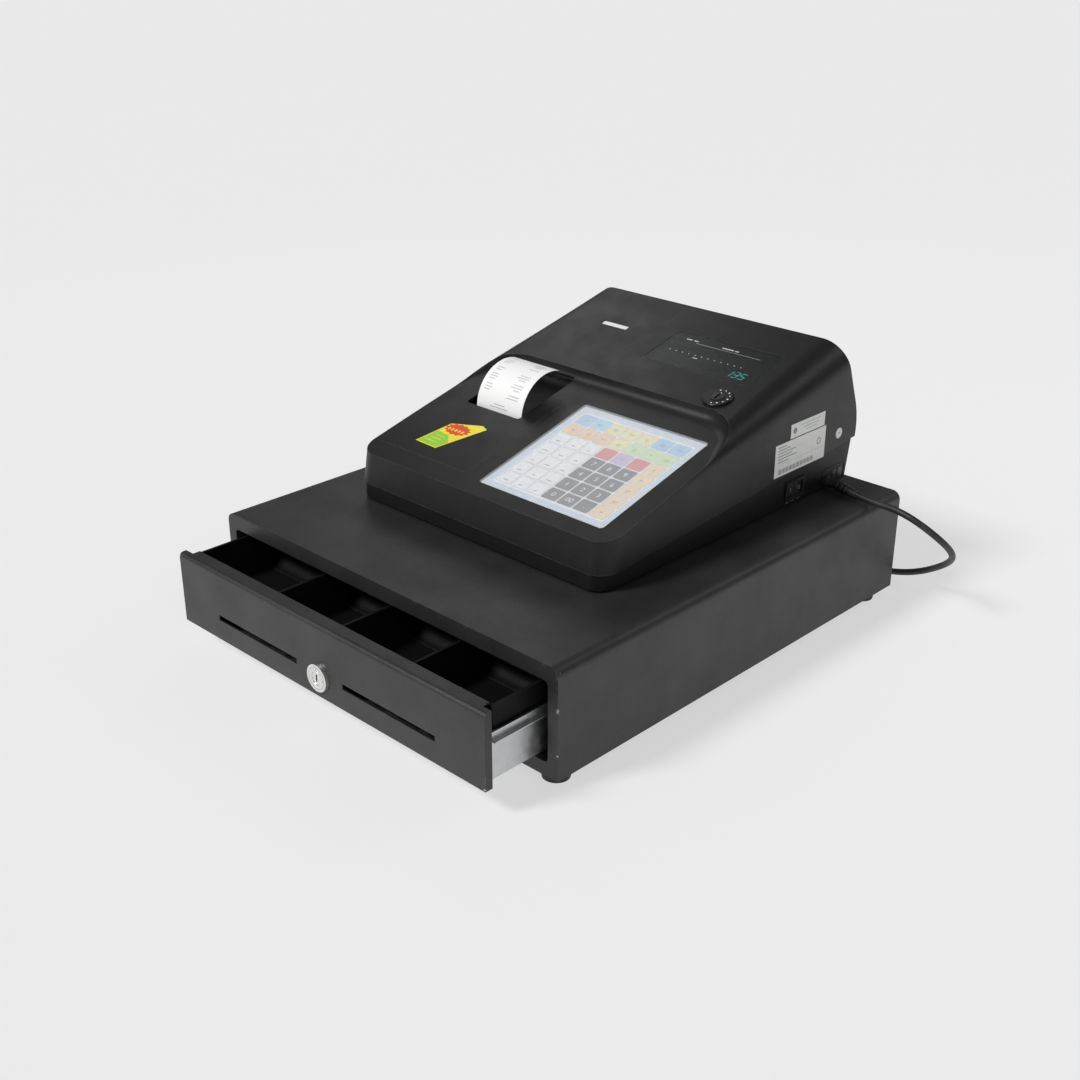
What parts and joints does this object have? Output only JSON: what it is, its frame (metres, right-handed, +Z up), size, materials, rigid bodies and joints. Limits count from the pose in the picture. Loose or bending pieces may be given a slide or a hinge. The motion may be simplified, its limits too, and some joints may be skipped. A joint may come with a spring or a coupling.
{
  "type": "electronic cash register",
  "caption": "Flat-key electronic cash register with a receipt printer lid, flush displays and mode key switch, standing on a steel cash drawer with till, note clips and lock.",
  "frame": {"origin": "Middle of the footprint of the cabinet and the drawer at its stored opening, on the table under the rubber feet.", "axes": "+Y from the drawer front to the rear of the cabinet, +X to the operator's right, +Z up."},
  "size_m": [0.4682, 0.675, 0.2361],
  "materials": {
    "black_powder_coat": "fine satin powder coat",
    "zinc_sheet": "galvanised sheet",
    "rubber_black": "matt",
    "nylon_white": "satin",
    "steel_bright": "bright",
    "copper_winding": "varnished winding",
    "till_plastic": "fine grain",
    "clip_steel": "plated",
    "lock_chrome": "polished",
    "housing_plastic": "fine spark texture",
    "switch_plastic": "semi-gloss",
    "inner_plastic": "moulded",
    "panel_glass": "clear",
    "key_print": "printed sheet",
    "board_green": "solder mask",
    "smoked_window": "polished smoke",
    "head_ceramic": "ceramic and alloy",
    "thermal_paper": "smooth",
    "label_print": "printed film",
    "transformer_iron": "varnished laminations",
    "cord_jacket": "PVC"
  },
  "bodies": {
    "cabinet": {"cabinet_cover": "black_powder_coat", "cabinet_front_frame": "black_powder_coat", "cabinet_base": "zinc_sheet", "cabinet_back": "zinc_sheet", "cabinet_feet": "rubber_black", "cabinet_rails": "zinc_sheet", "cabinet_screws": "steel_bright", "latch_bracket": "zinc_sheet", "latch_coil": "copper_winding", "ejector_spring": "zinc_sheet", "lower_housing": "housing_plastic", "upper_housing": "housing_plastic", "register_feet": "rubber_black", "touch_window": "panel_glass", "key_sheet": "key_print", "touch_sensor": "board_green", "display_window": "smoked_window", "display_module": "board_green", "customer_window": "smoked_window", "customer_module": "board_green", "mode_switch_ring": "switch_plastic", "mode_switch_body": "inner_plastic", "printer_frame": "inner_plastic", "print_head": "head_ceramic", "receipt": "thermal_paper", "rating_labels": "label_print", "main_board": "board_green", "transformer": "transformer_iron", "power_switch_frame": "switch_plastic", "cord_gland": "cord_jacket", "power_cord": "cord_jacket", "cord_coil": "cord_jacket", "cord_tail": "cord_jacket", "mains_plug": "cord_jacket"},
    "drawer": {"drawer_front": "black_powder_coat", "drawer_tray": "zinc_sheet", "drawer_rails": "zinc_sheet", "latch_striker": "zinc_sheet", "till_floor": "till_plastic", "till_long_walls": "till_plastic", "till_cross_walls": "till_plastic", "clip_rod": "steel_bright", "lock_barrel": "lock_chrome", "lock_nut": "steel_bright"},
    "drawer_lock": {"lock_plug": "lock_chrome", "lock_cam": "steel_bright"},
    "note_clip_a": {"note_clip_1": "clip_steel"},
    "note_clip_b": {"note_clip_2": "clip_steel"},
    "note_clip_c": {"note_clip_3": "clip_steel"},
    "note_clip_d": {"note_clip_4": "clip_steel"},
    "front_roller_pair": {"front_rollers": "nylon_white"},
    "rear_roller_pair": {"rear_rollers": "nylon_white"},
    "latch": {"latch_hook": "zinc_sheet"},
    "receipt_lid": {"printer_cover": "housing_plastic", "tear_bar": "steel_bright", "promo_sticker": "label_print"},
    "mode_key_rotor": {"mode_switch_rotor": "switch_plastic"},
    "platen": {"platen_roller": "rubber_black"},
    "roll": {"paper_roll": "thermal_paper"},
    "power_rocker": {"power_rocker": "switch_plastic"}
  },
  "joints": [
    {"name": "drawer_slide", "type": "slide", "parent": "cabinet", "child": "drawer", "axis": [0, -1, 0], "range_m": [-0.06, 0.22]},
    {"name": "front_roller_spin", "type": "hinge", "parent": "cabinet", "child": "front_roller_pair", "pos_m": [0, -0.1761, 0.0522], "axis": [1, 0, 0], "continuous": true},
    {"name": "rear_roller_spin", "type": "hinge", "parent": "drawer", "child": "rear_roller_pair", "pos_m": [0, 0.1259, 0.052], "axis": [1, 0, 0], "continuous": true},
    {"name": "drawer_lock_turn", "type": "hinge", "parent": "drawer", "child": "drawer_lock", "pos_m": [0, -0.2541, 0.0406], "axis": [0, -1, 0], "range_deg": [0, 90]},
    {"name": "latch_swing", "type": "hinge", "parent": "cabinet", "child": "latch", "pos_m": [0.022, 0.2169, 0.0315], "axis": [0, 0, 1], "range_deg": [-22, 0]},
    {"name": "note_clip_a_lift", "type": "hinge", "parent": "drawer", "child": "note_clip_a", "pos_m": [-0.125, 0.1219, 0.078], "axis": [-1, 0, 0], "range_deg": [0, 27]},
    {"name": "note_clip_b_lift", "type": "hinge", "parent": "drawer", "child": "note_clip_b", "pos_m": [-0.029, 0.1219, 0.078], "axis": [-1, 0, 0], "range_deg": [0, 27]},
    {"name": "note_clip_c_lift", "type": "hinge", "parent": "drawer", "child": "note_clip_c", "pos_m": [0.05325, 0.1219, 0.078], "axis": [-1, 0, 0], "range_deg": [0, 27]},
    {"name": "note_clip_d_lift", "type": "hinge", "parent": "drawer", "child": "note_clip_d", "pos_m": [0.13725, 0.1219, 0.078], "axis": [-1, 0, 0], "range_deg": [0, 27]},
    {"name": "receipt_lid_hinge", "type": "hinge", "parent": "cabinet", "child": "receipt_lid", "pos_m": [-0.086, 0.24233, 0.19058], "axis": [-1, 0, 0], "range_deg": [0, 65]},
    {"name": "mode_key_turn", "type": "hinge", "parent": "cabinet", "child": "mode_key_rotor", "pos_m": [0.101, 0.1067, 0.20441], "axis": [0, -0.2553, 0.9669], "range_deg": [-60, 150]},
    {"name": "platen_spin", "type": "hinge", "parent": "cabinet", "child": "platen", "pos_m": [-0.0785, 0.0279, 0.157], "axis": [1, 0, 0], "continuous": true},
    {"name": "paper_roll_spin", "type": "hinge", "parent": "cabinet", "child": "roll", "pos_m": [-0.0785, 0.1359, 0.1665], "axis": [1, 0, 0], "continuous": true},
    {"name": "power_rocker_tilt", "type": "hinge", "parent": "cabinet", "child": "power_rocker", "pos_m": [0.1405, 0.1659, 0.117], "axis": [0, 0, 1], "range_deg": [0, 10]}
  ]
}
